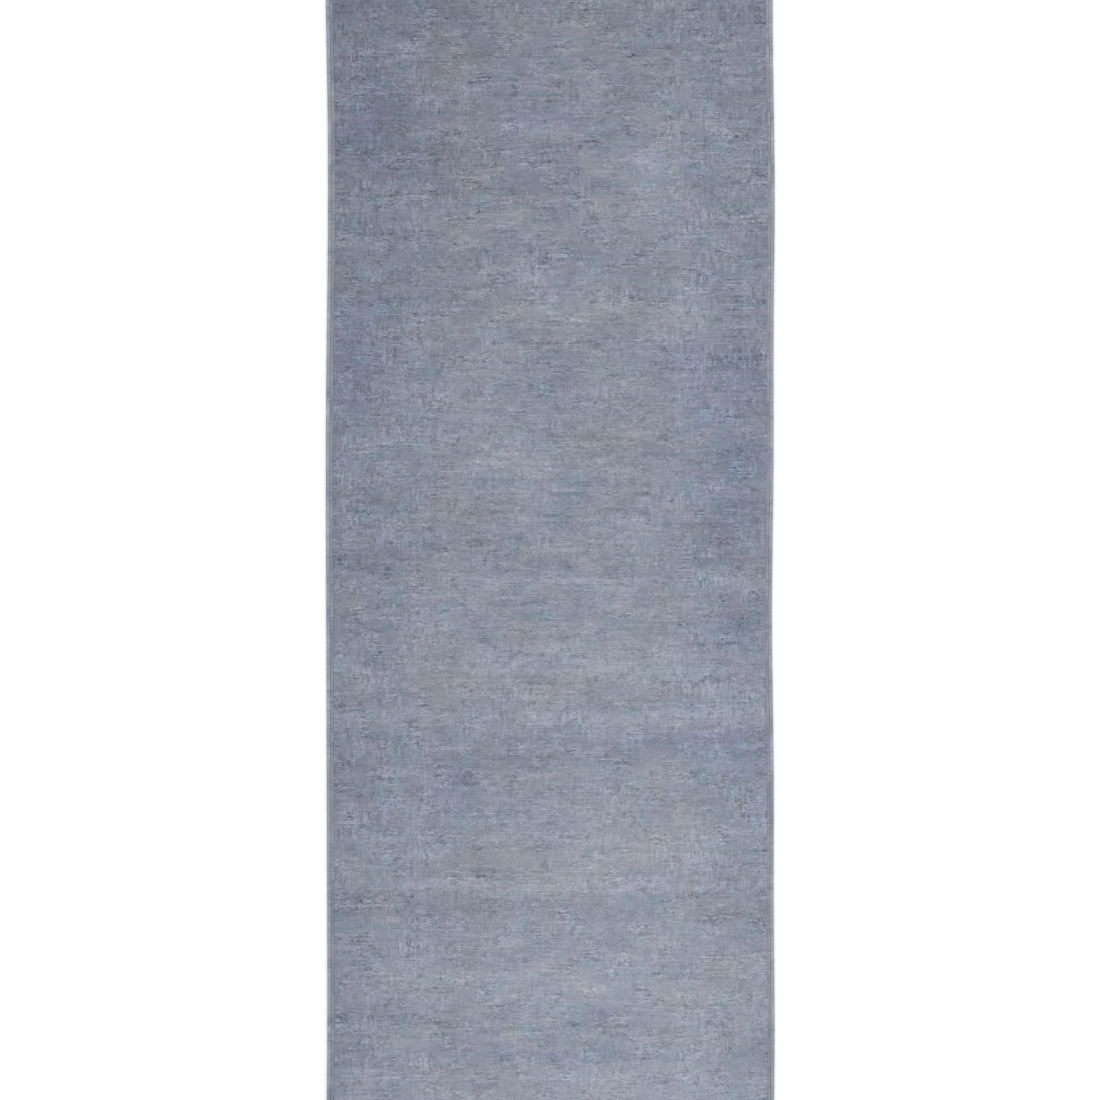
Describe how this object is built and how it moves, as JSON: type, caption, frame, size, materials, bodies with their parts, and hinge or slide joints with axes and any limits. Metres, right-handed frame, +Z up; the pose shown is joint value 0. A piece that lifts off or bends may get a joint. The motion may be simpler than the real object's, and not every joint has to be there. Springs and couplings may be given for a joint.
{
  "type": "runner rug",
  "caption": "Long narrow hand-knotted wool rug with wrapped edge cords, flat-woven ends and knotted fringes, lying flat.",
  "frame": {"origin": "centre of the underside, on the floor", "axes": "+X across the rug, +Y along it to the far end, +Z up out of the pile"},
  "size_m": [0.8, 3.05, 0.008],
  "materials": {
    "pile_field": "low sheared wool cut pile, overdyed blue-grey, matt with a faint sheen",
    "pile_inner_guard": "low sheared wool cut pile, a shade lighter than the field, matt",
    "pile_main_border": "low sheared wool cut pile, overdyed, a shade deeper than the field, matt",
    "pile_outer_band": "low sheared wool cut pile, the deepest blue of the rug, matt",
    "cotton_foundation": "tight plain cotton warp and weft with the backs of the knots showing, matt",
    "wool_overcasting": "wool yarn wound tight over the edge cords, matt",
    "selvedge_core": "bundles of undyed cotton warp, matt",
    "kilim_weave": "weft-faced plain weave with no pile, matt",
    "warp_fringe": "knotted bundles of dyed cotton warp ends, matt"
  },
  "bodies": {
    "root": {"foundation_cloth": "cotton_foundation", "pile_field": "pile_field", "pile_inner_guard_left": "pile_inner_guard", "pile_inner_guard_right": "pile_inner_guard", "pile_inner_guard_far": "pile_inner_guard", "pile_inner_guard_near": "pile_inner_guard", "pile_main_border_left": "pile_main_border", "pile_main_border_right": "pile_main_border", "pile_main_border_far": "pile_main_border", "pile_main_border_near": "pile_main_border", "pile_outer_band_left": "pile_outer_band", "pile_outer_band_right": "pile_outer_band", "pile_outer_band_far": "pile_outer_band", "pile_outer_band_near": "pile_outer_band", "selvedge_overcasting_left": "wool_overcasting", "selvedge_overcasting_right": "wool_overcasting", "selvedge_core_left_outer": "selvedge_core", "selvedge_core_left_inner": "selvedge_core", "selvedge_core_right_outer": "selvedge_core", "selvedge_core_right_inner": "selvedge_core", "kilim_end_far": "kilim_weave", "kilim_end_near": "kilim_weave", "fringe_far": "warp_fringe", "fringe_near": "warp_fringe"}
  },
  "joints": []
}
